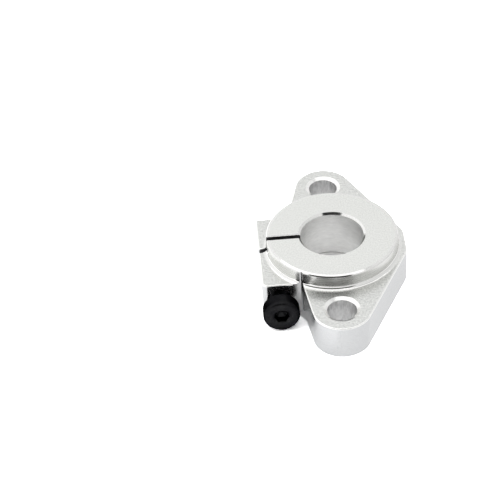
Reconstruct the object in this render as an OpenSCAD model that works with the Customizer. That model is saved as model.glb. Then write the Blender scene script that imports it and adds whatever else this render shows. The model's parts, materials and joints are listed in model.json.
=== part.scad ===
// Flange shaft support: a one-piece aluminium block that stands on its flange, takes a
// 12 mm shaft through a slit bore and grips it when the one clamp screw is tightened.
//
// Millimetres. +Z runs along the shaft and Z = 0 is the mounting face. The origin lies on the
// shaft's axis, the two ears reach out along Y and the clamp lug points to -X.

/* [Flange] */
// Distance between the two mounting holes
hole_spacing = 36; // [34:0.5:54]
// Width of each round ear
ear_width = 11; // [10:0.5:14]
// Thickness of the flange and the clamp lug
flange_thickness = 7; // [6.5:0.5:10]
// Distance from the shaft's axis to the flat at the back
back_depth = 14; // [13:0.5:18]
// Length of the flat at the back
back_flat = 4.6; // [2:0.2:8]
// Radius that leads from the back flat into the sloping sides
back_radius = 3.2; // [1:0.2:5]
// Diameter of the mounting holes
hole_diameter = 5.5; // [4.5:0.1:6.6]
// Width of the countersunk edge on the mounting holes
hole_edge = 0.65; // [0.2:0.05:1]
// Included angle of the drill point that sinks the mounting holes
hole_sink_angle = 120; // [60:5:130]

/* [Boss and bore] */
// Height of the boss over the flange
boss_height = 3; // [2:0.5:9]
// Diameter of the turned boss
boss_diameter = 25; // [22:0.5:30]
// Width of the bevel on the boss's rim
boss_bevel = 0.25; // [0.1:0.05:0.8]
// Radius that the turning tool leaves at the foot of the boss
boss_foot_radius = 0.8; // [0.1:0.05:1.2]
// Diameter of the shaft that the block holds
shaft_diameter = 12; // [10:0.5:14.5]
// Width of the bevel at both ends of the bore
bore_bevel = 0.4; // [0.1:0.05:0.8]

/* [Clamp lug] */
// Distance from the shaft's axis to the end of the lug
lug_reach = 14; // [13.5:0.5:18]
// Distance from the middle of the slit to the face under the screw's head
lug_head_side = 10.3; // [9:0.1:13]
// Distance from the middle of the slit to the face with the tapped hole
lug_tapped_side = 9.3; // [8:0.1:12]
// Width of the slit
slit_width = 1; // [0.6:0.1:2]
// Radius of the lug's outer corner on the head side
lug_corner_radius = 1; // [0.2:0.1:2]
// Radius in the hollow corners where the lug meets the flanks
root_radius = 0.4; // [0.2:0.1:0.8]
// Distance from the shaft's axis to where the tapped face ends in its hollow corner
tapped_root = 8.2; // [7:0.1:9]

/* [Clamp screw] */
// Outer diameter of the screw's thread
screw_diameter = 4; // [3:0.1:5]
// Length of the screw under its head
screw_length = 16; // [14:0.5:20]
// Gap between the screw's head and its seat, with the screw turned back
screw_turned_back = 2.3; // [0.1:0.1:4]
// Distance from the screw's axis to the end of the lug
screw_edge_distance = 3.1; // [2.5:0.1:5]
// Diameter of the low head
head_diameter = 6.9; // [5.5:0.1:8.5]
// Height of the low head
head_height = 2.8; // [2.4:0.1:4]
// Radius that rounds the head's outer edge
head_radius = 0.8; // [0.2:0.1:1.2]
// Width across the flats of the hexagon socket
socket_flats = 2.5; // [2:0.1:3]
// Depth of the hexagon socket
socket_depth = 1.7; // [1.2:0.1:2]

/* [Fits] */
// Height of the screw's head over the mounting face
head_floor_gap = 0.05; // [0.02:0.01:1]
// Flat seat left between the screw's head and the hollow corner
seat_margin = 0.55; // [0.2:0.05:1.5]
// Gap all round between the screw and its plain hole
pass_gap = 0.25; // [0.15:0.05:0.5]
// Gap all round between the screw and its tapped hole
thread_gap = 0.05; // [0.02:0.01:0.1]

/* [Hidden] */
$fn = 96;

// How far a cutter runs past the surface it starts from
OVERRUN = 0.2;
// How far a straight edge of the outline lies inside the discs that it joins. A line that only
// touched a disc would leave a sliver beside it.
EDGE_OVERLAP = 0.002;
// Bevel on the two screw holes' mouths, on the screw's tip and on the socket's mouth
SCREW_HOLE_BEVEL = 0.25;
SCREW_TIP_BEVEL = 0.5;
SOCKET_BEVEL = 0.15;
// Bevel under the screw's head
HEAD_FOOT_BEVEL = 0.15;
RIGHT_ANGLE = 90;
DRILL_POINT_ANGLE = 120;

body_height = flange_thickness + boss_height;
boss_radius = boss_diameter / 2;
bore_radius = shaft_diameter / 2;
ear_radius = ear_width / 2;
screw_radius = screw_diameter / 2;
head_outer_radius = head_diameter / 2;
screw_x = lug_reach - screw_edge_distance;
screw_z = head_outer_radius + head_floor_gap;
head_root = screw_x - head_outer_radius - seat_margin;

// Corners of the outline, anticlockwise, as centre x, centre y and radius. A negative radius
// is a hollow corner, with its centre outside the metal.
OUTLINE_CORNERS = [
    [back_depth - back_radius, -back_flat / 2, back_radius],
    [back_depth - back_radius, back_flat / 2, back_radius],
    [0, hole_spacing / 2, ear_radius],
    [-tapped_root, lug_tapped_side + root_radius, -root_radius],
    [-lug_reach, lug_tapped_side, 0],
    [lug_corner_radius - lug_reach, lug_corner_radius - lug_head_side, lug_corner_radius],
    [-head_root, -lug_head_side - root_radius, -root_radius],
    [0, -hole_spacing / 2, ear_radius],
];

// Distance from a corner's centre to the straight edges that meet there, with the corner's sign
function edge_distance(radius) = radius - sign(radius) * EDGE_OVERLAP;

// The two ends of the straight edge that runs smoothly from corner a to corner b
function tangent_edge(a, b) =
    let (
        run = [b.x - a.x, b.y - a.y],
        along = run / norm(run),
        outward = [along.y, -along.x],
        lean = (a.z - b.z) / norm(run),
        normal = lean * along + sqrt(1 - lean * lean) * outward
    )
    [
        [a.x, a.y] + edge_distance(a.z) * normal,
        [b.x, b.y] + edge_distance(b.z) * normal,
    ];

OUTLINE_POINTS = [
    for (i = [0 : len(OUTLINE_CORNERS) - 1])
        each tangent_edge(OUTLINE_CORNERS[i], OUTLINE_CORNERS[(i + 1) % len(OUTLINE_CORNERS)])
];

// A full disc at every corner of the outline whose radius has the given sign
module corner_discs(sign) {
    for (corner = OUTLINE_CORNERS) {
        if (corner.z * sign > 0) {
            translate([corner.x, corner.y]) circle(r = abs(corner.z));
        }
    }
}

// Outline of the block: straight edges that run smoothly into round and hollow corners
module outline() {
    difference() {
        union() {
            polygon(OUTLINE_POINTS);
            corner_discs(1);
        }
        corner_discs(-1);
    }
}

// What the lathe takes off above the flange, so that the round boss is left. The boss keeps
// the outline's flats and hollow corners where they lie inside its diameter.
module turning_cut() {
    outside = hole_spacing + ear_width;
    foot = boss_foot_radius;
    rotate_extrude() {
        polygon([
            [boss_radius, flange_thickness + foot],
            [boss_radius + foot, flange_thickness],
            [outside, flange_thickness],
            [outside, body_height + OVERRUN],
            [boss_radius - boss_bevel - OVERRUN, body_height + OVERRUN],
            [boss_radius, body_height - boss_bevel],
        ]);
        translate([boss_radius + foot, flange_thickness + foot]) circle(r = foot);
    }
}

// Straight drilled hole, from z = 0 up
module drilled_hole(radius, depth) {
    translate([0, 0, -OVERRUN]) cylinder(r = radius, h = depth + 2 * OVERRUN);
}

// Conical sink at z = 0 that opens to mouth_radius and points up
module sink(mouth_radius, angle) {
    slope = tan(angle / 2);
    translate([0, 0, -OVERRUN])
        cylinder(r1 = mouth_radius + OVERRUN * slope, r2 = 0, h = mouth_radius / slope + OVERRUN);
}

// Hole right through a plate of the given thickness, with both its edges sunk
module through_hole(radius, edge, angle, thickness) {
    drilled_hole(radius, thickness);
    sink(radius + edge, angle);
    translate([0, 0, thickness]) mirror([0, 0, 1]) sink(radius + edge, angle);
}

// Saw cut that lets the lug close on the shaft
module slit() {
    translate([-lug_reach - OVERRUN, -slit_width / 2, -OVERRUN])
        cube([lug_reach + OVERRUN, slit_width, body_height + 2 * OVERRUN]);
}

// Hole from one outer face of the lug to the slit: side is -1 for the head side, 1 for the other
module lug_hole(side, face, radius) {
    translate([-screw_x, side * face, screw_z])
        rotate([side * RIGHT_ANGLE, 0, 0]) {
            translate([0, 0, -OVERRUN]) cylinder(r = radius, h = face + OVERRUN);
            sink(radius + SCREW_HOLE_BEVEL, RIGHT_ANGLE);
        }
}

// Half section of the screw, with z = 0 under its head
module screw_profile() {
    polygon([
        [0, -screw_length],
        [screw_radius - SCREW_TIP_BEVEL, -screw_length],
        [screw_radius, SCREW_TIP_BEVEL - screw_length],
        [screw_radius, 0],
        [head_outer_radius - HEAD_FOOT_BEVEL, 0],
        [head_outer_radius, HEAD_FOOT_BEVEL],
        [head_outer_radius, head_height - head_radius],
        [head_outer_radius - head_radius, head_height],
        [0, head_height],
    ]);
    translate([head_outer_radius - head_radius, head_height - head_radius]) circle(r = head_radius);
}

// Hexagon socket that opens at z = 0 and runs down, with the drill's point at its floor
module hexagon_socket() {
    corner_radius = socket_flats / 2 / cos(30);
    slope = tan(DRILL_POINT_ANGLE / 2);
    translate([0, 0, -socket_depth]) {
        cylinder(r = corner_radius, h = socket_depth + OVERRUN, $fn = 6);
        mirror([0, 0, 1]) cylinder(r1 = socket_flats / 2, r2 = 0, h = socket_flats / 2 / slope);
    }
    mirror([0, 0, 1]) sink(corner_radius + SOCKET_BEVEL, DRILL_POINT_ANGLE);
}

// One-piece block of extruded, turned and bored aluminium
module support_body() {
    color([0.84, 0.85, 0.86])
        difference() {
            linear_extrude(height = body_height) outline();
            turning_cut();
            through_hole(bore_radius, bore_bevel, RIGHT_ANGLE, body_height);
            for (side = [-1, 1]) {
                translate([0, side * hole_spacing / 2, 0]) {
                    through_hole(hole_diameter / 2, hole_edge, hole_sink_angle, flange_thickness);
                    drilled_hole(hole_diameter / 2, body_height);
                }
            }
            slit();
            lug_hole(-1, lug_head_side, screw_radius + pass_gap);
            lug_hole(1, lug_tapped_side, screw_radius + thread_gap);
        }
}

// Low-head hexagon socket screw, black oxide, turned back a little from its seat
module clamp_screw() {
    color([0.09, 0.09, 0.1])
        translate([-screw_x, -lug_head_side - screw_turned_back, screw_z])
            rotate([RIGHT_ANGLE, 0, 0])
                difference() {
                    rotate_extrude() screw_profile();
                    translate([0, 0, head_height]) hexagon_socket();
                }
}

support_body();
clamp_screw();
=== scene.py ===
"""Flange shaft support: the finish of the aluminium block, the M4 screw and its thread, and the studio.

Sizes are in millimetres until finished_object() brings a piece to metres. The frame is the part's own:
the origin on the shaft's axis in the mounting face, +Z along the shaft, the clamp lug towards -X.
"""

import json
import math
from collections import namedtuple

import bmesh
import bpy
from bpy.props import FloatProperty, FloatVectorProperty, IntProperty, PointerProperty
from bpy.types import Operator, Panel, PropertyGroup
from mathutils import Matrix, Vector


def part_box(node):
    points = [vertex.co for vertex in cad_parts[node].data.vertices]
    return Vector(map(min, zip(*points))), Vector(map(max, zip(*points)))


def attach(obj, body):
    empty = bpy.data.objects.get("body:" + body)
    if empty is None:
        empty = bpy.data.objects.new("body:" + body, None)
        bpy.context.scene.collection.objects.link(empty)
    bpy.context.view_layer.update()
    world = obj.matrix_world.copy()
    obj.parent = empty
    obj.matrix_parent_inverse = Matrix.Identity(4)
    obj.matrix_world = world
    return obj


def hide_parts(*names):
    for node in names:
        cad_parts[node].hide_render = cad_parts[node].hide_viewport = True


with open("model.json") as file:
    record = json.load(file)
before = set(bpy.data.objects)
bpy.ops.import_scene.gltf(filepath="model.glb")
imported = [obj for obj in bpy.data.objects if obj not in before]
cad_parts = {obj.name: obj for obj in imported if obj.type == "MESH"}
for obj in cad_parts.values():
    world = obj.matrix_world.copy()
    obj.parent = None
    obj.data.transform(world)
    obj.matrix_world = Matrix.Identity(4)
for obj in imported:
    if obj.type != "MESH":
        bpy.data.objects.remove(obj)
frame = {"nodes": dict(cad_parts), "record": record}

bl_info = {
    "name": "Flange shaft support",
    "version": (1, 0, 0),
    "blender": (4, 5, 0),
    "location": "3D View > Sidebar > Shaft support",
    "description": "Finishes a slit flange shaft support and its clamp screw",
    "category": "Object",
}

MM = 0.001
BLOCK_NODE = "support_body"
SCREW_NODE = "clamp_screw"
BLOCK_BODY = "support"
SCREW_BODY = "screw"
BLOCK_SLOT = "blasted_aluminium"
SCREW_SLOT = "black_oxide_steel"


def mount(name):
    """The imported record's mount of that name."""
    return next(m for m in frame["record"]["mounts"] if m["name"] == name)


def box_mm(node):
    """Lowest and highest corner of a CAD node, in millimetres."""
    low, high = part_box(node)
    return low / MM, high / MM


# Sizes that the frame gives
BLOCK_LOW, BLOCK_HIGH = box_mm(BLOCK_NODE)
SCREW_LOW, SCREW_HIGH = box_mm(SCREW_NODE)
BORE_RADIUS = mount("shaft_bore")["dims"]["r_mm"]
HOLE_RADIUS = mount("mounting_hole_front")["dims"]["r_mm"]
HOLE_REACH = mount("mounting_holes")["dims"]["spacing_y_mm"] / 2
BLOCK_HEIGHT = BLOCK_HIGH.z
SCREW_X = (SCREW_LOW.x + SCREW_HIGH.x) / 2
SCREW_Z = (SCREW_LOW.z + SCREW_HIGH.z) / 2
SCREW_FRONT = SCREW_LOW.y
SCREW_TIP = SCREW_HIGH.y
HEAD_RADIUS = (SCREW_HIGH.x - SCREW_LOW.x) / 2

# Sizes of the block that its box doesn't give
FLANGE_TOP = 7.0
BOSS_RADIUS = 12.5
BOSS_FOOT = 0.8
BOSS_BEVEL = 0.25
BORE_BEVEL = 0.4
HOLE_EDGE = 0.65
HALF_SLIT = 0.5
LUG_TAPPED_FACE = 9.3
LUG_HOLE_BEVEL = 0.25
PASS_RADIUS = 2.25
TAPPED_RADIUS = 2.05

# The thread in the lug: its crests have the tapping drill's radius, its root stands off the CAD
# hole's wall, its ring is bedded in the metal round the hole, and the screw's tip keeps clear of it.
TAPPING_DRILL_RADIUS = 1.65
THREAD_LIFT = 0.01
THREAD_BED = 0.1
TIP_GAP = 0.4

# Sizes of the screw, an M4 with a low head. The thread's depth is a share of its pitch.
HEAD_HEIGHT = 2.8
HEAD_FOOT = 0.15
THREAD_RADIUS = 2.0
THREAD_PITCH = 0.7
THREAD_DEPTH = 0.6134
THREAD_TOP = -0.7
TIP_BEVEL = 0.5

# The plain neck under the screw's head, and the core that carries it on inside the thread
NECK_RADIUS = 1.72
NECK_END = -0.75
NECK_SLOPE = 0.1
NECK_FILLET = 0.2
CORE_RADIUS = 1.5
CORE_LENGTH = 0.6

# The hexagon socket: half the angle that a side spans, its chamfer, the narrow lip above that, and
# the depth of the drill's point
HALF_SIDE = math.radians(30)
CHAMFER_WIDTH = 0.3
CHAMFER_SLOPE = math.tan(math.radians(35))
LIP_WIDTH = 0.05
LIP_DROP = 0.01
DRILL_POINT = 0.6

# Flat faces across a small rounding, and across the screw head's large one
SMALL_STEPS = 4
LARGE_STEPS = 10

# Turns of thread that are wound beyond its length, and how many of them run out below its lower
# end. They are cut away, so that both ends are flat.
SPARE_TURNS = 2
RUN_IN = 1.5

# Hair's breadth that tells one surface from the next, the distance at which points are welded, and
# the width of what is too narrow to keep
NEAR = 0.02
WELD = 1e-4
SLIVER = 1e-3

# Cosines of the most that a level face, and one square to the Y axis, may tilt
LEVEL = 0.99
SQUARE = 0.95

# Width of the zone at the boss's edge that holds its rolled rim
RIM_ZONE = 1.0

# Least angles at which faces aren't one flat face, at which the block's edges are broken, and at which
# an edge is a crease, on the block and the screw and on the lug's thread
FLAT = math.radians(0.5)
SHARP = math.radians(30)
CREASE = math.radians(28)
THREAD_CREASE = math.radians(40)

# Middle part of a noise, where nearly all its values lie, and how rough its finer layers are
NOISE_LOW = 0.3
NOISE_HIGH = 0.7
NOISE_ROUGHNESS = 0.6

# Half width of the floor, in metres
FLOOR_HALF = 2.0

# Whiteness of the floor as a lamp, and how much whiter it is to the camera and in the metal
FLOOR_WHITE = 1.0
CAMERA_FLOOR = 2.1
MIRRORED_FLOOR = 0.5

# How much of the floor's light in the metal is even right up to the block instead of shaded, how
# strong it is, and the stretch along X in which it fades out towards the pocket beside the screw
MIRROR_EVEN = 0.7
EVEN_STRENGTH = 0.8
POCKET_LEFT = -5
POCKET_RIGHT = -2

# How much brighter the tent's left side is than its middle, and its right side darker. The floor's colour
# darkens by as much, a painted shade of that falloff, over this many millimetres to the right of the
# shaft's axis.
LEAN = 0.18
FLOOR_LEAN_REACH = 30

# Dark doorway of the light tent, as seen from the part: tangents of its angles off the -Y axis,
# the blur of its edge as a share of its half width, and its brightness
DOOR_LEFT = -1.19
DOOR_RIGHT = 0.58
DOOR_FOOT = 0.48
DOOR_TOP = 1.5
DOOR_BLUR = 0.12
DOOR_GLOW = 0.04

# Sine of the elevation where the tent's roof begins, its blur, and the roof's brightness
ROOF_EDGE = 0.86
ROOF_BLUR = 0.05
ROOF_LEVEL = 0.45

# Place of the overhead softbox, and its width
SOFTBOX_PLACE = (-60, 20, 500)
SOFTBOX_WIDTH = 600

# Width of the camera's sensor, and the nearest that the camera sees
SENSOR_WIDTH = 36
CAMERA_NEAR = 10


# ---------------------------------------------------------------- colours and nodes

def linear(hex_colour):
    """Linear RGBA of an sRGB colour written as #rrggbb."""
    channels = [int(hex_colour[i:i + 2], 16) / 255 for i in (1, 3, 5)]
    return (*[c / 12.92 if c <= 0.04045 else ((c + 0.055) / 1.055) ** 2.4 for c in channels], 1.0)


def add_node(tree, kind, inputs=None, **settings):
    """Adds a node: settings are its own values, inputs go to its sockets, as links or as values."""
    node = tree.nodes.new(kind)
    for name, value in settings.items():
        setattr(node, name, value)
    for name, value in (inputs or {}).items():
        if isinstance(value, bpy.types.NodeSocket):
            tree.links.new(value, node.inputs[name])
        elif value is not None:
            node.inputs[name].default_value = value
    return node


def new_material(name):
    """An empty node material and its tree."""
    material = bpy.data.materials.new(name)
    material.use_nodes = True
    material.node_tree.nodes.clear()
    return material, material.node_tree


# An even noise on the metal: the size of its lumps in millimetres, how much faster it runs along
# each axis, so that less than 1 draws the lumps out, and how many finer layers it has
Grain = namedtuple("Grain", "size stretch detail", defaults=((1.0, 1.0, 1.0), 2.0))


def metal(name, tint, roughness, bumps, edge_tint=1.0):
    """A metal's material.

    tint is a grain and the two colours it runs between, and roughness a number, or a grain and the
    two numbers it runs between. bumps are the grains that raise the surface, with their heights in
    millimetres.
    """
    material, tree = new_material(name)
    place = add_node(tree, "ShaderNodeTexCoord").outputs["Object"]
    grains = [tint[0], *(grain for grain, height in bumps)]
    if isinstance(roughness, tuple):
        grains.append(roughness[0])
    noise = {}
    for grain in dict.fromkeys(grains):
        scale = [times / MM for times in grain.stretch]
        point = add_node(tree, "ShaderNodeMapping", {"Vector": place, "Scale": scale})
        lumps = add_node(tree, "ShaderNodeTexNoise", {
            "Vector": point.outputs["Vector"], "Scale": 1 / grain.size,
            "Detail": grain.detail, "Roughness": NOISE_ROUGHNESS,
        })
        noise[grain] = lumps.outputs["Fac"]

    grain, dark, light = tint
    lightness = add_node(tree, "ShaderNodeMapRange", {
        "Value": noise[grain], "From Min": NOISE_LOW, "From Max": NOISE_HIGH,
    }).outputs["Result"]
    # A Mix node has its colour sockets at 6 and 7, and its mixed colour at 2.
    colour = add_node(
        tree, "ShaderNodeMix", {0: lightness, 6: dark, 7: light}, data_type="RGBA",
    ).outputs[2]
    if isinstance(roughness, tuple):
        grain, low, high = roughness
        roughness = add_node(tree, "ShaderNodeMapRange", {
            "Value": noise[grain], "From Min": NOISE_LOW, "From Max": NOISE_HIGH,
            "To Min": low, "To Max": high,
        }).outputs["Result"]
    normal = None
    for grain, height in bumps:
        normal = add_node(tree, "ShaderNodeBump", {
            "Height": noise[grain], "Distance": height * MM, "Strength": 1.0, "Normal": normal,
        }).outputs["Normal"]
    shader = add_node(tree, "ShaderNodeBsdfPrincipled", {
        "Base Color": colour, "Metallic": 1.0, "Roughness": roughness,
        "Specular Tint": (edge_tint, edge_tint, edge_tint, 1.0), "Normal": normal,
    })
    add_node(tree, "ShaderNodeOutputMaterial", {"Surface": shader.outputs["BSDF"]})
    return material


# ---------------------------------------------------------------- the metals

def blasted_aluminium():
    """Bead-blasted flange: an even, light, matt grey that sparkles with bright and dark specks."""
    looks = bpy.context.scene.block_looks
    # Blasting leaves pits of about 0.05 mm. They are drawn 0.35 mm wide so that they show.
    pits = Grain(0.35)
    tint = (pits, looks.flange_dark, looks.flange_light)
    return metal("blasted_aluminium_face", tint, (pits, 0.34, 0.22), [(pits, 0.019)])


def faced_aluminium():
    """End of the boss, faced on the lathe before blasting: the same grey with finer, fainter specks."""
    looks = bpy.context.scene.block_looks
    # The same pits as on the flange, drawn a little finer than there
    pits = Grain(0.25)
    # Patches some 5 mm wide are a little duller than the rest.
    clouds = Grain(5.0)
    tint = (pits, looks.end_dark, looks.end_light)
    return metal("faced_aluminium_end", tint, (clouds, 0.38, 0.44), [(pits, 0.016)])


def satin_aluminium():
    """Side of the extruded bar after blasting: smoother than the faces, with faint fine specks."""
    looks = bpy.context.scene.block_looks
    pits = Grain(0.25)
    # The die's lines run along the bar, which is the block's Z axis. They are some 0.1 mm wide, and
    # are drawn 0.35 mm wide so that they show.
    lines = Grain(0.35, (1.0, 1.0, 0.15))
    tint = (pits, looks.side_dark, looks.side_light)
    return metal("satin_aluminium_side", tint, (pits, 0.2, 0.28), [(lines, 0.001), (pits, 0.008)])


def turned_aluminium():
    """Wall of the boss, turned with a keen tool: bright, with fine rings that blur what it mirrors."""
    # The tool's feed is about 0.05 mm a turn. The rings are drawn 0.25 mm apart so that they show.
    rings = Grain(0.25, (0.05, 0.05, 1.0))
    tint = (rings, linear("#E0E0DD"), linear("#EAEAE8"))
    return metal("turned_aluminium", tint, (rings, 0.25, 0.3), [(rings, 0.0006)])


def keen_aluminium():
    """Rim and foot of the boss, and the bore's rims: the tool's nose leaves them nearly mirror-bright."""
    # The tool's edge leaves specks of some 0.05 mm. They are drawn 0.3 mm wide so that they show.
    specks = Grain(0.3)
    tint = (specks, linear("#E2E2E0"), linear("#ECECEA"))
    return metal("keen_cut_aluminium", tint, (specks, 0.06, 0.1), [(specks, 0.001)])


def bored_aluminium():
    """Bore, screw hole and lug thread: a duller cut than the boss, with rings across the hole."""
    # Chatter and feed marks about 0.5 mm apart, broken up round the hole
    rings = Grain(0.5, (0.35, 0.35, 1.0))
    tint = (rings, linear("#DADAD9"), linear("#E9E9E8"))
    return metal("bored_aluminium", tint, (rings, 0.32, 0.42), [(rings, 0.003)])


def drilled_aluminium():
    """Bolt holes: drilled and not reamed, so streaks run along the hole where the chips scored it."""
    # Scores are about 0.1 mm wide. They are drawn 0.45 mm wide so that they show.
    scores = Grain(0.45, (1.0, 1.0, 0.3))
    tint = (scores, linear("#CECECE"), linear("#FDFDFD"))
    return metal("drilled_aluminium", tint, (scores, 0.3, 0.45), [(scores, 0.012)])


def sunk_aluminium():
    """Countersunk rims of the bolt holes: freshly cut, so they flash white under the overhead light."""
    # The countersink's chatter, in patches some 0.4 mm wide
    specks = Grain(0.4)
    tint = (specks, linear("#F4F4F2"), linear("#FAFAF8"))
    return metal("sunk_aluminium", tint, 0.22, [(specks, 0.002)])


def milled_aluminium():
    """Milled faces of the lug: nearly a mirror, with the cutter's faint marks."""
    # The cutter's feed is about 0.1 mm a tooth. Its marks are drawn 0.3 mm wide so that they show.
    marks = Grain(0.3, (1.0, 0.2, 0.3))
    tint = (marks, linear("#C8C8C8"), linear("#D4D4D4"))
    return metal("milled_aluminium", tint, (marks, 0.22, 0.28), [(marks, 0.0008)])


def sawn_slit_painted_shade():
    """Walls of the slit: dull, with rough saw marks that run into the cut, and coloured dark as painted
    shade in the narrow slit.
    """
    # Scratches of the saw's teeth, about 0.2 mm wide
    marks = Grain(0.2, (0.2, 1.0, 1.0))
    # Painted shade: dark grey colour on the slit's walls, where shade falls between the two halves.
    tint = (marks, linear("#58585A"), linear("#747476"))
    return metal("sawn_slit_painted_shade", tint, 0.5, [(marks, 0.01)])


def broken_edge_painted_highlight():
    """Edges broken after the last cut: bare, smooth metal, with a near-white colour that is partly the
    bare metal's own and partly a painted highlight, so they draw a white line round each face.
    """
    # Facets that the deburring tool leaves, about 0.4 mm wide
    nicks = Grain(0.4)
    # Painted highlight: the near-white colour lays a white line along the edges, beyond the bare metal's
    # own brightness.
    tint = (nicks, linear("#F2F2F0"), linear("#FCFCFA"))
    return metal("broken_edge_aluminium_painted_highlight", tint, (nicks, 0.18, 0.3), [(nicks, 0.004)])


def black_oxide_steel():
    """Black oxide on a cold-headed steel screw, slightly oily: soft black with a dim sheen."""
    looks = bpy.context.scene.screw_looks
    # The oxide's crystals are far too fine to show. They are drawn as specks 0.35 mm wide.
    specks = Grain(0.35, detail=3.0)
    # Patches of oil, some 2 mm wide
    clouds = Grain(2.0)
    tint = (clouds, looks.black_dark, looks.black_light)
    return metal("black_oxide_steel", tint, (specks, 0.24, 0.38), [(specks, 0.003)], edge_tint=0.3)


BLOCK_FINISHES = (
    blasted_aluminium, faced_aluminium, satin_aluminium, turned_aluminium, keen_aluminium,
    bored_aluminium, drilled_aluminium, sunk_aluminium, milled_aluminium, sawn_slit_painted_shade,
    broken_edge_painted_highlight,
)


# ---------------------------------------------------------------- settings

def colour_setting(name, description, hex_colour):
    """A colour that the user can change."""
    return FloatVectorProperty(
        name=name, description=description, default=linear(hex_colour), size=4, subtype="COLOR",
        min=0, max=1,
    )


class BlockLooks(PropertyGroup):
    """Sizes and colours of the block's finish."""

    edge_break: FloatProperty(
        name="Edge break", description="Width that deburring takes off the outline's edges, in mm",
        default=0.22, min=0.02, max=0.4,
    )
    edge_steps: IntProperty(
        name="Edge steps", description="Faces across a broken edge", default=4, min=1, max=8,
    )
    rim_roll: FloatProperty(
        name="Rolled rim", description="Width of the boss's end that slopes into its bevel, in mm",
        default=0.34, min=0.15, max=0.6,
    )
    rim_drop: FloatProperty(
        name="Rim drop", description="How far the rolled rim slopes down, in mm",
        default=0.08, min=0.01, max=0.15,
    )
    flange_dark: colour_setting("Flange, dark", "Darkest specks of the blasted flange", "#C2C3C1")
    flange_light: colour_setting("Flange, light", "Lightest specks of the blasted flange", "#F0F1EE")
    end_dark: colour_setting("Boss end, dark", "Darkest specks of the boss's end", "#D5D6D3")
    end_light: colour_setting("Boss end, light", "Lightest specks of the boss's end", "#EDEEEB")
    side_dark: colour_setting("Sides, dark", "Darkest specks of the extruded sides", "#C2C3C4")
    side_light: colour_setting("Sides, light", "Lightest specks of the extruded sides", "#CECFD0")


class ScrewLooks(PropertyGroup):
    """Sizes and colours of the screw that its CAD solid leaves plain."""

    pitch: FloatProperty(
        name="Pitch", description="Thread pitch, in mm", default=THREAD_PITCH, min=0.3, max=1.0,
    )
    head_rounding: FloatProperty(
        name="Head rounding", description="Radius of the head's outer edge, in mm",
        default=0.8, min=0.1, max=1.2,
    )
    socket_flats: FloatProperty(
        name="Socket", description="Width across the flats of the hexagon socket, in mm",
        default=2.5, min=2.0, max=3.0,
    )
    socket_depth: FloatProperty(
        name="Socket depth", description="Depth of the hexagon socket, in mm",
        default=1.7, min=1.0, max=2.2,
    )
    steps: IntProperty(
        name="Steps", description="Faces round the head and for each turn of thread, a multiple of 6",
        default=48, min=24, max=96,
    )
    black_dark: colour_setting("Black, dark", "Darkest clouds in the black oxide", "#1C1C1E")
    black_light: colour_setting("Black, light", "Lightest clouds in the black oxide", "#282829")


class StageLooks(PropertyGroup):
    """Camera and light."""

    elevation: FloatProperty(
        name="Elevation", description="Camera's height over the horizon",
        default=math.radians(40.287), subtype="ANGLE",
    )
    azimuth: FloatProperty(
        name="Azimuth", description="Camera's angle round the shaft axis, from the -Y side",
        default=math.radians(1.546), subtype="ANGLE",
    )
    roll: FloatProperty(
        name="Roll", description="Camera's lean about its own view line",
        default=math.radians(3.398), subtype="ANGLE",
    )
    distance: FloatProperty(
        name="Distance", description="From the camera to the plane through the origin, in mm",
        default=331.2, min=100,
    )
    aim_left: FloatProperty(
        name="Aim left", description="Sideways from the shaft axis to the view line, in mm",
        default=15.66,
    )
    aim_up: FloatProperty(
        name="Aim up", description="Upwards from the origin to the view line, in mm", default=5.39,
    )
    lens: FloatProperty(name="Lens", description="Focal length, in mm", default=123.5, min=20)
    tent: FloatProperty(
        name="Tent", description="Brightness of the light tent round the part", default=1.0, min=0,
    )
    top_power: FloatProperty(
        name="Top lamp", description="Power of the overhead softbox, in watts", default=0.9, min=0,
    )


# ---------------------------------------------------------------- making pieces

def finished_object(bm, name, materials, crease):
    """Turns a bmesh in millimetres into a smooth-shaded object in metres, in the part's frame."""
    bm.normal_update()
    for face in bm.faces:
        face.smooth = True
    for edge in bm.edges:
        one_finish = len({face.material_index for face in edge.link_faces}) == 1
        edge.smooth = one_finish and edge.calc_face_angle(0.0) < crease
    bm.transform(Matrix.Scale(MM, 4))
    mesh = bpy.data.meshes.new(name)
    bm.to_mesh(mesh)
    bm.free()
    # A copy of a CAD mesh brings that mesh's own normals along, which no longer fit.
    if mesh.has_custom_normals:
        mesh.attributes.remove(mesh.attributes["custom_normal"])
    for material in materials:
        mesh.materials.append(material)
    piece = bpy.data.objects.new(name, mesh)
    bpy.context.scene.collection.objects.link(piece)
    weighted = piece.modifiers.new("even_normals", "WEIGHTED_NORMAL")
    weighted.keep_sharp = True
    return piece


def give_to(piece, body, slot, *nodes):
    """Rides the piece on a CAD body and hides the CAD nodes it stands for."""
    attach(piece, body)
    if nodes:
        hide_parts(*nodes)


def close(value, target, tolerance=NEAR):
    """True if two lengths are the same, to within a hair's breadth or the tolerance given."""
    return abs(value - target) < tolerance


def only(kind, geometry):
    """The vertices, edges or faces among an operator's mixed geometry."""
    return [part for part in geometry if isinstance(part, kind)]


def open_edges(bm, height):
    """The open edges that lie at z = height."""
    return [
        edge for edge in bm.edges
        if edge.is_boundary and all(close(v.co.z, height, SLIVER) for v in edge.verts)
    ]


def arc(centre_r, centre_z, radius, first, last, steps):
    """Points of an arc in the (r, z) half plane, between two angles in degrees."""
    points = []
    for i in range(steps + 1):
        angle = math.radians(first + (last - first) * i / steps)
        points.append((centre_r + radius * math.cos(angle), centre_z + radius * math.sin(angle)))
    return points


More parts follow.
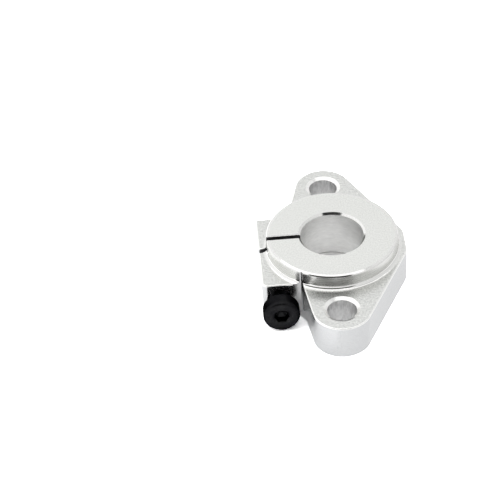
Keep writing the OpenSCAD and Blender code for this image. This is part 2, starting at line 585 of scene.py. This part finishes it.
def spin_profile(bm, profile, angle, rise, steps, full_turn):
    """Spins an open (r, z) profile round the Z axis, rising as it goes, and welds what meets."""
    verts = [bm.verts.new((r, 0.0, z)) for r, z in profile]
    edges = [bm.edges.new(pair) for pair in zip(verts, verts[1:])]
    bmesh.ops.spin(
        bm, geom=verts + edges, cent=(0, 0, 0), axis=(0, 0, 1), dvec=(0, 0, rise / steps),
        angle=angle, steps=steps, use_merge=full_turn, use_normal_flip=False, use_duplicate=False,
    )
    bmesh.ops.remove_doubles(bm, verts=bm.verts, dist=WELD)


def thread_profile(root, crest, pitch, root_flat, crest_flat):
    """One pitch of a thread as (r, z) points: the root's flat, a flank, the crest's flat, a flank."""
    flank = (pitch - root_flat - crest_flat) / 2
    return [
        (root, 0), (root, root_flat), (crest, root_flat + flank),
        (crest, root_flat + flank + crest_flat), (root, pitch),
    ]


def wind_thread(bm, profile, low, high, steps):
    """Right-hand thread round the Z axis from z = low to z = high, with both its flat ends open."""
    pitch = profile[-1][1]
    turns = math.ceil((high - low) / pitch) + SPARE_TURNS
    spin_profile(bm, profile, math.tau * turns, pitch * turns, steps * turns, full_turn=False)
    bmesh.ops.translate(bm, verts=bm.verts, vec=(0, 0, low - RUN_IN * pitch))
    for height, outwards in ((low, -1), (high, 1)):
        bmesh.ops.bisect_plane(
            bm, geom=bm.verts[:] + bm.edges[:] + bm.faces[:], dist=WELD,
            plane_co=(0, 0, height), plane_no=(0, 0, outwards), clear_outer=True,
        )


# ---------------------------------------------------------------- the block

def on_boss_rim(edge):
    """True for the edges where the boss's end meets the bevel on its rim."""
    inner = BOSS_RADIUS - BOSS_BEVEL
    return all(close(v.co.z, BLOCK_HEIGHT) and close(v.co.xy.length, inner) for v in edge.verts)


def bevel_edges(bm, edges, width, steps):
    """Rounds edges off by a width in millimetres. Returns the new faces."""
    return bmesh.ops.bevel(
        bm, geom=edges, offset=width, offset_type="OFFSET", segments=steps, profile=0.5,
        affect="EDGES", clamp_overlap=False, material=-1,
    )["faces"]


def roll_rim(bm, width, drop):
    """Rolls the edge of the boss's end over, so that it slopes gently into the bevel."""
    rim = [edge for edge in bm.edges if on_boss_rim(edge)]
    # The rim's bevel stands at 45 degrees, so a cut that wide reaches down it by the drop.
    slope = bevel_edges(bm, rim, drop * math.sqrt(2), 1)
    for v in {v for face in slope for v in face.verts if close(v.co.z, BLOCK_HEIGHT)}:
        v.co.xy = v.co.xy.normalized() * (BOSS_RADIUS - BOSS_BEVEL - width)


def hole_distance(point):
    """Distance from a point, seen from above, to the axis of the nearer bolt hole."""
    return min((point.xy - Vector((0, side * HOLE_REACH))).length for side in (-1, 1))


def is_deburred(edge):
    """True for the deburred edges: the outline's, top and bottom, and the slit's and lug's own."""
    a, b = (v.co for v in edge.verts)
    if close((a - b).xy.length, 0):
        return close(a.x, BLOCK_LOW.x)
    if not close(a.z, b.z):
        return False
    from_axis = min(a.xy.length, b.xy.length)
    outside_bore = from_axis > BORE_RADIUS + BORE_BEVEL + NEAR
    outside_foot = from_axis > BOSS_RADIUS + BOSS_FOOT - NEAR
    outside_holes = min(hole_distance(a), hole_distance(b)) > HOLE_RADIUS + HOLE_EDGE + NEAR
    if close(a.z, 0):
        return outside_holes and outside_bore
    if close(a.z, FLANGE_TOP):
        return outside_holes and outside_foot
    beside_slit = close(abs(a.y), HALF_SLIT) and close(abs(b.y), HALF_SLIT)
    return beside_slit and close(a.z, BLOCK_HEIGHT)


def finish_of(centre, normal):
    """The block's finish on a face, from the face's middle and its normal."""
    from_axis = centre.xy.length
    from_hole = hole_distance(centre)
    from_screw = (centre.xz - Vector((SCREW_X, SCREW_Z))).length
    above_flange = centre.z > FLANGE_TOP
    if abs(normal.z) > LEVEL:
        return faced_aluminium if close(centre.z, BLOCK_HEIGHT) else blasted_aluminium
    if centre.z > BLOCK_HEIGHT - BOSS_BEVEL and from_axis > BOSS_RADIUS - RIM_ZONE:
        return keen_aluminium
    if from_axis < BORE_RADIUS + BORE_BEVEL and close(normal.z, 0):
        return bored_aluminium
    if from_hole < HOLE_RADIUS + NEAR:
        return drilled_aluminium
    if from_axis < BORE_RADIUS + BORE_BEVEL + NEAR:
        return keen_aluminium
    if from_hole < HOLE_RADIUS + HOLE_EDGE + NEAR:
        return sunk_aluminium
    if centre.x < 0 and abs(centre.y) < HALF_SLIT + NEAR:
        return sawn_slit_painted_shade
    if from_screw < PASS_RADIUS + LUG_HOLE_BEVEL and abs(normal.y) < SQUARE:
        return bored_aluminium
    if above_flange and close(from_axis, BOSS_RADIUS) and close(normal.z, 0):
        return turned_aluminium
    if above_flange and close(from_axis, BOSS_RADIUS, BOSS_FOOT) and normal.z > NEAR:
        return keen_aluminium
    if centre.x < -BORE_RADIUS and abs(normal.y) > SQUARE:
        return milled_aluminium
    return satin_aluminium


class OBJECT_OT_shaft_support_block(Operator):
    """Finish the aluminium block: broken edges and the finish of every cut"""

    bl_idname = "object.shaft_support_block"
    bl_label = "Block"

    def execute(self, context):
        looks = context.scene.block_looks
        bm = bmesh.new()
        bm.from_mesh(frame["nodes"][BLOCK_NODE].data)
        bm.transform(Matrix.Scale(1 / MM, 4))
        bmesh.ops.remove_doubles(bm, verts=bm.verts, dist=WELD)
        bmesh.ops.dissolve_limit(bm, angle_limit=FLAT, verts=bm.verts, edges=bm.edges)
        corners = [
            edge for edge in bm.edges
            if edge.is_convex and edge.calc_face_angle() > SHARP and is_deburred(edge)
        ]
        broken = set(bevel_edges(bm, corners, looks.edge_break, looks.edge_steps))
        roll_rim(bm, looks.rim_roll, looks.rim_drop)
        # Where the rolled rim ends at the slit it leaves slivers too narrow to keep.
        bmesh.ops.dissolve_degenerate(bm, dist=SLIVER, edges=bm.edges)
        for face in bm.faces:
            middle = face.calc_center_median()
            # The edges round the underside are broken too, but keep the finish of the sides: the painted
            # highlight goes only on the upper edges, where the overhead light falls.
            painted_highlight_edge = face in broken and middle.z > FLANGE_TOP / 2
            finish = broken_edge_painted_highlight if painted_highlight_edge else finish_of(middle, face.normal)
            face.material_index = BLOCK_FINISHES.index(finish)
        materials = [finish() for finish in BLOCK_FINISHES]
        piece = finished_object(bm, "clamp_block", materials, CREASE)
        give_to(piece, BLOCK_BODY, BLOCK_SLOT, BLOCK_NODE)
        return {"FINISHED"}


class OBJECT_OT_shaft_support_tapping(Operator):
    """Cut the thread in the far arm of the lug, from the screw's tip to the mouth"""

    bl_idname = "object.shaft_support_tapping"
    bl_label = "Tapped thread"

    def execute(self, context):
        looks = context.scene.screw_looks
        inner_end = SCREW_TIP + TIP_GAP
        length = LUG_TAPPED_FACE - LUG_HOLE_BEVEL - NEAR - inner_end
        profile = thread_profile(
            TAPPED_RADIUS - THREAD_LIFT, TAPPING_DRILL_RADIUS, looks.pitch,
            root_flat=looks.pitch / 8, crest_flat=looks.pitch / 4,
        )
        bm = bmesh.new()
        wind_thread(bm, profile, 0, length, looks.steps)
        # Each open end spreads outwards into the metal, and a wall out there joins the two.
        for height in (0, length):
            end = bmesh.ops.extrude_edge_only(bm, edges=open_edges(bm, height))["geom"]
            for v in only(bmesh.types.BMVert, end):
                v.co.xy = v.co.xy.normalized() * (TAPPED_RADIUS + THREAD_BED)
        bmesh.ops.bridge_loops(bm, edges=[edge for edge in bm.edges if edge.is_boundary])
        bmesh.ops.recalc_face_normals(bm, faces=bm.faces)
        # The thread was wound from its inner end up, and turns to run along +Y.
        bm.transform(
            Matrix.Translation((SCREW_X, inner_end, SCREW_Z))
            @ Matrix.Rotation(math.radians(-90), 4, "X")
        )
        piece = finished_object(bm, "lug_thread", [bored_aluminium()], THREAD_CREASE)
        give_to(piece, BLOCK_BODY, BLOCK_SLOT)
        return {"FINISHED"}


# ---------------------------------------------------------------- the screw

def screw_thread(bm, looks, tip):
    """Closed thread from z = tip up to the screw's neck, with the tip's edge turned off."""
    profile = thread_profile(
        THREAD_RADIUS - THREAD_DEPTH * looks.pitch, THREAD_RADIUS, looks.pitch,
        root_flat=looks.pitch / 6, crest_flat=looks.pitch / 8,
    )
    wind_thread(bm, profile, tip, THREAD_TOP, looks.steps)
    for height in (tip, THREAD_TOP):
        bmesh.ops.contextual_create(bm, geom=open_edges(bm, height))
    # The tip's bevel stands at 45 degrees, so its radius grows as fast as its height.
    for v in bm.verts:
        limit = THREAD_RADIUS - TIP_BEVEL + (v.co.z - tip)
        if v.co.xy.length > limit:
            v.co.xy = v.co.xy.normalized() * limit
    bmesh.ops.recalc_face_normals(bm, faces=bm.faces)


def screw_head(bm, looks):
    """Closed low head with its neck: z = 0 is under the head and the socket opens at the top."""
    rounding = looks.head_rounding
    corner = looks.socket_flats / 2 / math.cos(HALF_SIDE)
    mouth = corner + CHAMFER_WIDTH
    lip = HEAD_HEIGHT - LIP_DROP
    core_end = NECK_END - CORE_LENGTH
    profile = [
        (0, core_end), (CORE_RADIUS, core_end), (CORE_RADIUS, NECK_END),
        (NECK_RADIUS, NECK_END + NECK_SLOPE),
        *arc(NECK_RADIUS + NECK_FILLET, -NECK_FILLET, NECK_FILLET, 180, 90, SMALL_STEPS),
        *arc(HEAD_RADIUS - HEAD_FOOT, HEAD_FOOT, HEAD_FOOT, -90, 0, SMALL_STEPS),
        *arc(HEAD_RADIUS - rounding, HEAD_HEIGHT - rounding, rounding, 0, 90, LARGE_STEPS),
        (mouth + LIP_WIDTH, HEAD_HEIGHT), (mouth, lip),
    ]
    spin_profile(bm, profile, math.tau, 0, looks.steps, full_turn=True)

    # A hexagon with as many edges as the round mouth lies below it, and a chamfer joins the two.
    ring = open_edges(bm, lip)
    socket_floor = HEAD_HEIGHT - looks.socket_depth
    place = Matrix.Translation((0, 0, socket_floor)) @ Matrix.Rotation(HALF_SIDE, 4, "Z")
    bmesh.ops.create_circle(bm, cap_ends=False, radius=corner, segments=6, matrix=place)
    sides = [edge for edge in bm.edges if edge.is_wire]
    bmesh.ops.subdivide_edges(bm, edges=sides, cuts=looks.steps // 6 - 1)
    hexagon = [edge for edge in bm.edges if edge.is_wire]
    bmesh.ops.bridge_loops(bm, edges=ring + hexagon)
    # The chamfer is a cone, so it dips deeper at the flats than at the corners.
    for v in {v for edge in hexagon for v in edge.verts}:
        v.co.z = HEAD_HEIGHT - (mouth - v.co.xy.length) * CHAMFER_SLOPE

    walls = bmesh.ops.extrude_edge_only(bm, edges=hexagon)["geom"]
    for v in only(bmesh.types.BMVert, walls):
        v.co.z = socket_floor
    bottom = [edge for edge in only(bmesh.types.BMEdge, walls) if edge.is_boundary]
    floor = bmesh.ops.contextual_create(bm, geom=bottom)["faces"]
    bmesh.ops.recalc_face_normals(bm, faces=bm.faces)
    bmesh.ops.poke(bm, faces=floor, offset=-DRILL_POINT)


class OBJECT_OT_shaft_support_screw(Operator):
    """Make the M4 low-head screw with its thread and hexagon socket"""

    bl_idname = "object.shaft_support_screw"
    bl_label = "Clamp screw"

    def execute(self, context):
        looks = context.scene.screw_looks
        seat = SCREW_FRONT + HEAD_HEIGHT
        bm = bmesh.new()
        screw_thread(bm, looks, seat - SCREW_TIP)
        head = bmesh.new()
        screw_head(head, looks)
        part = bpy.data.meshes.new("head")
        head.to_mesh(part)
        head.free()
        bm.from_mesh(part)
        bpy.data.meshes.remove(part)
        # The screw was made upright, with its head on top, and turns to face -Y.
        bm.transform(
            Matrix.Translation((SCREW_X, seat, SCREW_Z)) @ Matrix.Rotation(math.radians(90), 4, "X")
        )
        piece = finished_object(bm, "m4_clamp_screw", [black_oxide_steel()], CREASE)
        give_to(piece, SCREW_BODY, SCREW_SLOT, SCREW_NODE)
        return {"FINISHED"}


# ---------------------------------------------------------------- the stage

def floor_material():
    """White sweep: whiter to the camera and in the metal than as a lamp, so that shadows stay faint."""
    material, tree = new_material("white_sweep")
    rays = add_node(tree, "ShaderNodeLightPath")
    place = add_node(tree, "ShaderNodeTexCoord").outputs["Object"]
    rightward = add_node(tree, "ShaderNodeSeparateXYZ", {"Vector": place}).outputs["X"]

    # The floor under the block, a diamond as long and wide as the block, is left out of the camera's
    # extra whiteness and out of the even light in the metal: painted shade under the block. It shows
    # through the bore and the bolt holes, which look deep against it.
    off_middle = add_node(tree, "ShaderNodeVectorMath", {0: place}, operation="ABSOLUTE").outputs[0]
    diamond = (1 / BLOCK_HIGH.x / MM, 1 / BLOCK_HIGH.y / MM, 0)
    outwards = add_node(
        tree, "ShaderNodeVectorMath", {0: off_middle, 1: diamond}, operation="DOT_PRODUCT",
    ).outputs["Value"]
    outside_painted_shade = add_node(
        tree, "ShaderNodeMath", {0: outwards, 1: 1.0}, operation="GREATER_THAN",
    ).outputs[0]

    whiter = add_node(
        tree, "ShaderNodeMath", {0: outside_painted_shade, 1: CAMERA_FLOOR}, operation="MULTIPLY",
    ).outputs[0]
    seen = add_node(
        tree, "ShaderNodeMath",
        {0: rays.outputs["Is Camera Ray"], 1: whiter, 2: FLOOR_WHITE}, operation="MULTIPLY_ADD",
    ).outputs[0]
    white = add_node(
        tree, "ShaderNodeMath",
        {0: rays.outputs["Is Glossy Ray"], 1: MIRRORED_FLOOR, 2: seen}, operation="MULTIPLY_ADD",
    ).outputs[0]
    # Painted shade: the floor's colour darkens towards the right, as the tent's light does.
    shade = add_node(
        tree, "ShaderNodeMapRange",
        {
            "Value": rightward, "From Min": 0.0, "From Max": FLOOR_LEAN_REACH * MM,
            "To Min": 1.0, "To Max": 1 - LEAN,
        },
    ).outputs["Result"]
    white = add_node(tree, "ShaderNodeMath", {0: white, 1: shade}, operation="MULTIPLY").outputs[0]
    colour = add_node(
        tree, "ShaderNodeCombineColor", {"Red": white, "Green": white, "Blue": white},
    ).outputs["Color"]
    paint = add_node(tree, "ShaderNodeBsdfDiffuse", {"Color": colour})
    even = add_node(tree, "ShaderNodeEmission", {"Color": colour, "Strength": EVEN_STRENGTH})

    # The pocket between the screw's head and the ear keeps its shade.
    out_of_pocket = add_node(
        tree, "ShaderNodeMapRange",
        {"Value": rightward, "From Min": POCKET_LEFT * MM, "From Max": POCKET_RIGHT * MM},
    ).outputs["Result"]
    evenness = add_node(
        tree, "ShaderNodeMath", {0: rays.outputs["Is Glossy Ray"], 1: outside_painted_shade}, operation="MULTIPLY",
    ).outputs[0]
    for share in (MIRROR_EVEN, out_of_pocket):
        evenness = add_node(
            tree, "ShaderNodeMath", {0: evenness, 1: share}, operation="MULTIPLY",
        ).outputs[0]
    mix = add_node(
        tree, "ShaderNodeMixShader",
        {0: evenness, 1: paint.outputs["BSDF"], 2: even.outputs["Emission"]},
    )
    add_node(tree, "ShaderNodeOutputMaterial", {"Surface": mix.outputs[0]})
    return material


def light_tent(looks):
    """White tent all round, with a dark doorway in front through which the camera looks in."""
    world = bpy.data.worlds.new("light_tent")
    world.use_nodes = True
    tree = world.node_tree
    tree.nodes.clear()
    way = add_node(tree, "ShaderNodeTexCoord").outputs["Generated"]
    axes = add_node(tree, "ShaderNodeSeparateXYZ", {"Vector": way})

    # Where a direction meets the doorway's plane, from -1 to 1 across the doorway and up it. Behind
    # the part this doorway shows once more, upside down, and there the floor covers it.
    reach = add_node(
        tree, "ShaderNodeMath", {0: -1.0, 1: axes.outputs["Y"]}, operation="DIVIDE",
    ).outputs[0]
    on_plane = add_node(tree, "ShaderNodeVectorMath", {0: way, "Scale": reach}, operation="SCALE")
    across, up = (DOOR_LEFT + DOOR_RIGHT) / 2, (DOOR_FOOT + DOOR_TOP) / 2
    half_across, half_up = (DOOR_RIGHT - DOOR_LEFT) / 2, (DOOR_TOP - DOOR_FOOT) / 2
    in_door = add_node(
        tree, "ShaderNodeMapping",
        {
            "Vector": on_plane.outputs[0],
            "Location": (-across / half_across, 0, -up / half_up),
            "Scale": (1 / half_across, 0, 1 / half_up),
        },
    )
    size = add_node(tree, "ShaderNodeVectorMath", {0: in_door.outputs[0]}, operation="ABSOLUTE")
    sides = add_node(tree, "ShaderNodeSeparateXYZ", {"Vector": size.outputs[0]})
    outside = add_node(
        tree, "ShaderNodeMath", {0: sides.outputs["X"], 1: sides.outputs["Z"]}, operation="MAXIMUM",
    ).outputs[0]
    level = add_node(
        tree, "ShaderNodeMapRange",
        {
            "Value": outside, "From Min": 1 - DOOR_BLUR, "From Max": 1 + DOOR_BLUR,
            "To Min": DOOR_GLOW, "To Max": looks.tent,
        },
        interpolation_type="SMOOTHSTEP",
    ).outputs["Result"]

    side = add_node(
        tree, "ShaderNodeMapRange",
        {
            "Value": axes.outputs["X"],
            "From Min": -1, "From Max": 1, "To Min": 1 + LEAN, "To Max": 1 - LEAN,
        },
    ).outputs["Result"]
    # The softbox shines through the roof, so the tent itself is dimmer there.
    roof = add_node(
        tree, "ShaderNodeMapRange",
        {
            "Value": axes.outputs["Z"],
            "From Min": ROOF_EDGE - ROOF_BLUR, "From Max": ROOF_EDGE + ROOF_BLUR,
            "To Min": 1.0, "To Max": ROOF_LEVEL,
        },
    ).outputs["Result"]
    for share in (side, roof):
        level = add_node(tree, "ShaderNodeMath", {0: level, 1: share}, operation="MULTIPLY").outputs[0]

    # The camera sees plain white round the floor.
    rays = add_node(tree, "ShaderNodeLightPath")
    tent = add_node(tree, "ShaderNodeBackground", {"Color": (1, 1, 1, 1), "Strength": level})
    white = add_node(tree, "ShaderNodeBackground", {"Color": (1, 1, 1, 1), "Strength": 1.0})
    mix = add_node(
        tree, "ShaderNodeMixShader",
        {0: rays.outputs["Is Camera Ray"], 1: tent.outputs[0], 2: white.outputs[0]},
    )
    add_node(tree, "ShaderNodeOutputWorld", {"Surface": mix.outputs[0]})
    return world


def lay_floor():
    """Flat white floor that the block stands on."""
    bm = bmesh.new()
    bmesh.ops.create_grid(bm, x_segments=1, y_segments=1, size=FLOOR_HALF)
    mesh = bpy.data.meshes.new("floor")
    bm.to_mesh(mesh)
    bm.free()
    mesh.materials.append(floor_material())
    floor = bpy.data.objects.new("floor", mesh)
    bpy.context.scene.collection.objects.link(floor)


def hang_softbox(looks):
    """Square area lamp that faces the part from above."""
    lamp = bpy.data.lights.new("top_softbox", "AREA")
    lamp.size = SOFTBOX_WIDTH * MM
    lamp.energy = looks.top_power
    softbox = bpy.data.objects.new("top_softbox", lamp)
    bpy.context.scene.collection.objects.link(softbox)
    place = Vector(SOFTBOX_PLACE)
    softbox.location = place * MM
    softbox.rotation_euler = place.to_track_quat("Z", "Y").to_euler()


def place_camera(looks):
    """Camera at its angle round the part, looking along its own -Z."""
    flat, rise = math.cos(looks.elevation), math.sin(looks.elevation)
    forward, sideways = math.cos(looks.azimuth), math.sin(looks.azimuth)
    right = Vector((forward, -sideways, 0))
    up = Vector((rise * sideways, rise * forward, flat))
    back = Vector((-flat * sideways, -flat * forward, rise))
    place = looks.distance * back + looks.aim_up * up - looks.aim_left * right
    lean = Matrix.Rotation(-looks.roll, 3, back)
    axes = Matrix((lean @ right, lean @ up, back)).transposed()
    camera = bpy.data.objects.new("camera", bpy.data.cameras.new("camera"))
    bpy.context.scene.collection.objects.link(camera)
    camera.data.sensor_width = SENSOR_WIDTH
    camera.data.lens = looks.lens
    camera.data.clip_start = CAMERA_NEAR * MM
    camera.matrix_world = Matrix.Translation(place * MM) @ axes.to_4x4()
    bpy.context.scene.camera = camera


class OBJECT_OT_shaft_support_stage(Operator):
    """Lay the floor, hang the light tent and the softbox, and set up the camera"""

    bl_idname = "object.shaft_support_stage"
    bl_label = "Stage"

    def execute(self, context):
        looks = context.scene.stage_looks
        context.scene.world = light_tent(looks)
        context.scene.view_settings.view_transform = "Standard"
        lay_floor()
        hang_softbox(looks)
        place_camera(looks)
        return {"FINISHED"}


# ---------------------------------------------------------------- panel and registration

class VIEW3D_PT_shaft_support(Panel):
    """Sidebar panel that lists the steps in order"""

    bl_label = "Shaft support"
    bl_space_type = "VIEW_3D"
    bl_region_type = "UI"
    bl_category = "Shaft support"

    def draw(self, context):
        for step in STEPS:
            self.layout.operator(step.bl_idname)
        for name, group in GROUPS.items():
            box = self.layout.box()
            for setting in group.__annotations__:
                box.prop(getattr(context.scene, name), setting)


STEPS = (
    OBJECT_OT_shaft_support_block,
    OBJECT_OT_shaft_support_tapping,
    OBJECT_OT_shaft_support_screw,
    OBJECT_OT_shaft_support_stage,
)
GROUPS = {"block_looks": BlockLooks, "screw_looks": ScrewLooks, "stage_looks": StageLooks}


def register():
    for cls in (*GROUPS.values(), *STEPS, VIEW3D_PT_shaft_support):
        bpy.utils.register_class(cls)
    for name, cls in GROUPS.items():
        setattr(bpy.types.Scene, name, PointerProperty(type=cls))


def unregister():
    for name in GROUPS:
        delattr(bpy.types.Scene, name)
    for cls in reversed((*GROUPS.values(), *STEPS, VIEW3D_PT_shaft_support)):
        bpy.utils.unregister_class(cls)


def main():
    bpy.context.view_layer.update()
    register()
    bpy.ops.object.shaft_support_block()
    bpy.ops.object.shaft_support_tapping()
    bpy.ops.object.shaft_support_screw()
    bpy.ops.object.shaft_support_stage()
    bpy.context.view_layer.update()


if __name__ == "__main__":
    main()
